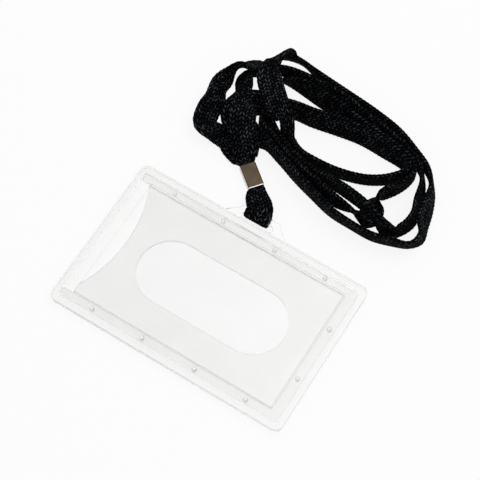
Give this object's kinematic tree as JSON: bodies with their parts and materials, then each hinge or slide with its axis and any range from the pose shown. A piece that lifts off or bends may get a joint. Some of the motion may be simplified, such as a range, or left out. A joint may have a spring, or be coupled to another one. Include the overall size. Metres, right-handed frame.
{
  "type": "badge holder with lanyard",
  "caption": "Rigid milky plastic holder for a name card, with a slotted hanging tab and a flat knitted neck strap closed by a folded metal ferrule.",
  "frame": {"origin": "middle of the flat underside of the holder, with its hanging tab counted in", "axes": "+X along the holder's long side, from the open end of the pocket to its closed end; +Y towards the hanging tab and the strap; +Z out of the front of the pocket"},
  "size_m": [0.1135, 0.1449, 0.0224],
  "materials": {
    "back_plastic": "milky translucent, faintly frosted",
    "front_plastic": "milky translucent, faintly frosted",
    "stud_plastic": "melted, glossy",
    "strap_knit": "knitted, with a soft sheen",
    "ferrule_steel": "polished, slightly warm"
  },
  "bodies": {
    "holder": {"back_shell": "back_plastic", "front_shell": "front_plastic", "stud_far_1": "stud_plastic", "stud_far_2": "stud_plastic", "stud_far_3": "stud_plastic", "stud_far_4": "stud_plastic", "stud_near_1": "stud_plastic", "stud_near_2": "stud_plastic", "stud_near_3": "stud_plastic", "stud_near_4": "stud_plastic", "stud_end_1": "stud_plastic", "stud_end_2": "stud_plastic"},
    "lanyard": {"slot_loop": "strap_knit", "ferrule": "ferrule_steel", "neck_strap": "strap_knit"}
  },
  "joints": [
    {"name": "lanyard_swing", "type": "hinge", "parent": "holder", "child": "lanyard", "pos_m": [-0.0012, 0.03605, 0.00325], "axis": [1, 0, 0], "range_deg": [-100, 100]}
  ]
}
